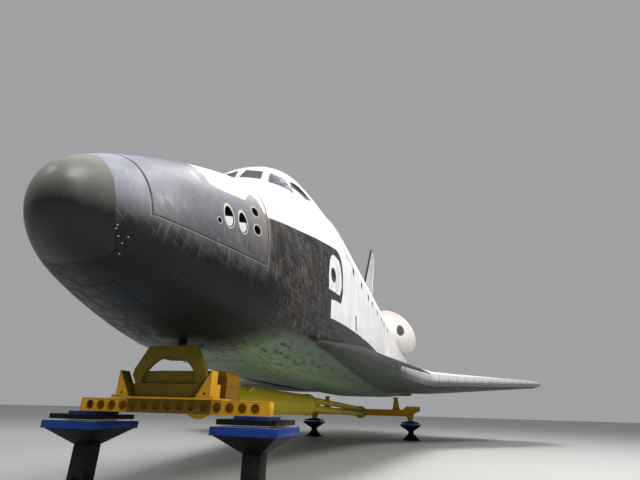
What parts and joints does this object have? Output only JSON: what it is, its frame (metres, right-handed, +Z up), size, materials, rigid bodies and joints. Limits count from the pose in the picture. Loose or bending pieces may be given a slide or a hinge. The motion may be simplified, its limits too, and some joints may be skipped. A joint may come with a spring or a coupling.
{
  "type": "space shuttle orbiter on its transporter",
  "caption": "Winged space vehicle with opening payload bay, elevons, rudder, speed brake and body flap, resting gear up on a steel transporter and pedestals",
  "frame": {"origin": "on the floor under the middle of the orbiter's length, on its centre plane", "axes": "+X towards the nose, +Y to port, +Z up"},
  "size_m": [37.2364, 23.7896, 16.6446],
  "materials": {
    "white_tile": "matt coated tiles with fine seams and grey weathering",
    "white_felt": "coated felt blankets in wide quilted panels",
    "black_tile": "dark glazed tiles, streaked and paled by heat",
    "carbon": "satin grey coated carbon panels",
    "glass": "dark polished window glass",
    "cabin_grey": "matt grey cabin paint",
    "radiator_silver": "mirror-like silvered panel",
    "pod_beige": "warm off-white tiles and blankets",
    "engine_steel": "heat-tinted nickel alloy with ribs",
    "transporter_yellow": "semi-gloss yellow paint with chips and grime",
    "isolator_blue": "glossy blue paint",
    "pedestal_black": "satin black paint"
  },
  "bodies": {
    "airframe": {"nose_cap": "carbon", "forward_fuselage": "white_tile", "thruster_module": "black_tile", "windshield": "glass", "flight_deck": "cabin_grey", "mid_fuselage": "white_tile", "aft_fuselage": "white_tile", "fin": "white_tile", "drag_chute_housing": "white_tile", "wing_port": "white_felt", "wing_starboard": "white_felt", "wing_edge_port": "carbon", "wing_edge_starboard": "carbon", "gear_door_port": "black_tile", "gear_door_starboard": "black_tile", "nose_gear_door_port": "black_tile", "nose_gear_door_starboard": "black_tile", "pod_port": "pod_beige", "pod_starboard": "pod_beige", "pod_nozzle_port": "engine_steel", "pod_nozzle_starboard": "engine_steel", "main_nozzle_top": "engine_steel", "main_nozzle_port": "engine_steel", "main_nozzle_starboard": "engine_steel", "transporter_front_beam": "transporter_yellow", "transporter_cradle": "transporter_yellow", "transporter_spine_front": "transporter_yellow", "transporter_spine_rear": "transporter_yellow", "transporter_rear_beam": "transporter_yellow", "transporter_post_port": "transporter_yellow", "transporter_post_starboard": "transporter_yellow", "isolator_front_port": "isolator_blue", "isolator_front_starboard": "isolator_blue", "isolator_rear_port": "isolator_blue", "isolator_rear_starboard": "isolator_blue", "pedestal_front_port": "pedestal_black", "pedestal_front_starboard": "pedestal_black", "pedestal_rear_port": "pedestal_black", "pedestal_rear_starboard": "pedestal_black"},
    "bay_door_port": {"bay_door_port": "white_felt", "radiator_port": "radiator_silver"},
    "bay_door_starboard": {"bay_door_starboard": "white_felt", "radiator_starboard": "radiator_silver"},
    "hatch": {"side_hatch": "white_tile", "hatch_window": "glass"},
    "elevon_inner_port": {"elevon_inner_port": "white_tile"},
    "elevon_outer_port": {"elevon_outer_port": "white_tile"},
    "elevon_inner_starboard": {"elevon_inner_starboard": "white_tile"},
    "elevon_outer_starboard": {"elevon_outer_starboard": "white_tile"},
    "body_flap": {"body_flap": "black_tile"},
    "rudder": {"rudder_drum": "engine_steel"},
    "brake_port": {"rudder_panel_port": "white_tile"},
    "brake_starboard": {"rudder_panel_starboard": "white_tile"}
  },
  "joints": [
    {"name": "bay_door_port_hinge", "type": "hinge", "parent": "airframe", "child": "bay_door_port", "pos_m": [0.6731, 2.6289, 6.4846], "axis": [-1, 0, 0], "range_deg": [0, 175.5]},
    {"name": "bay_door_starboard_hinge", "type": "hinge", "parent": "airframe", "child": "bay_door_starboard", "pos_m": [0.6731, -2.6289, 6.4846], "axis": [1, 0, 0], "range_deg": [0, 175.5]},
    {"name": "hatch_hinge", "type": "hinge", "parent": "airframe", "child": "hatch", "pos_m": [11.4046, 2.5324, 4.7574], "axis": [-1, 0, 0], "range_deg": [0, 90]},
    {"name": "elevon_inner_port_hinge", "type": "hinge", "parent": "airframe", "child": "elevon_inner_port", "pos_m": [-10.5664, 3.0734, 3.3167], "axis": [0, 0.9993, 0.038], "range_deg": [-25, 40]},
    {"name": "elevon_outer_port_hinge", "type": "hinge", "parent": "airframe", "child": "elevon_outer_port", "pos_m": [-10.5664, 11.176, 3.6252], "axis": [0, 0.9993, 0.038], "range_deg": [-25, 40]},
    {"name": "elevon_inner_starboard_hinge", "type": "hinge", "parent": "airframe", "child": "elevon_inner_starboard", "pos_m": [-10.5664, -3.0734, 3.3167], "axis": [0, 0.9993, -0.038], "range_deg": [-25, 40]},
    {"name": "elevon_outer_starboard_hinge", "type": "hinge", "parent": "airframe", "child": "elevon_outer_starboard", "pos_m": [-10.5664, -11.176, 3.6252], "axis": [0, 0.9993, -0.038], "range_deg": [-25, 40]},
    {"name": "body_flap_hinge", "type": "hinge", "parent": "airframe", "child": "body_flap", "pos_m": [-14.2494, 0, 3.208], "axis": [0, 1, 0], "range_deg": [-22.55, 11.7]},
    {"name": "rudder_hinge", "type": "hinge", "parent": "airframe", "child": "rudder", "pos_m": [-13.7654, 0, 11.3106], "axis": [-0.5726, 0, 0.8199], "range_deg": [-27.1, 27.1]},
    {"name": "brake_port_hinge", "type": "hinge", "parent": "rudder", "child": "brake_port", "pos_m": [-13.7654, 0, 11.3106], "axis": [0.5726, 0, -0.8199], "range_deg": [0, 49.3]},
    {"name": "brake_starboard_hinge", "type": "hinge", "parent": "rudder", "child": "brake_starboard", "pos_m": [-13.7654, 0, 11.3106], "axis": [-0.5726, 0, 0.8199], "range_deg": [0, 49.3]}
  ]
}
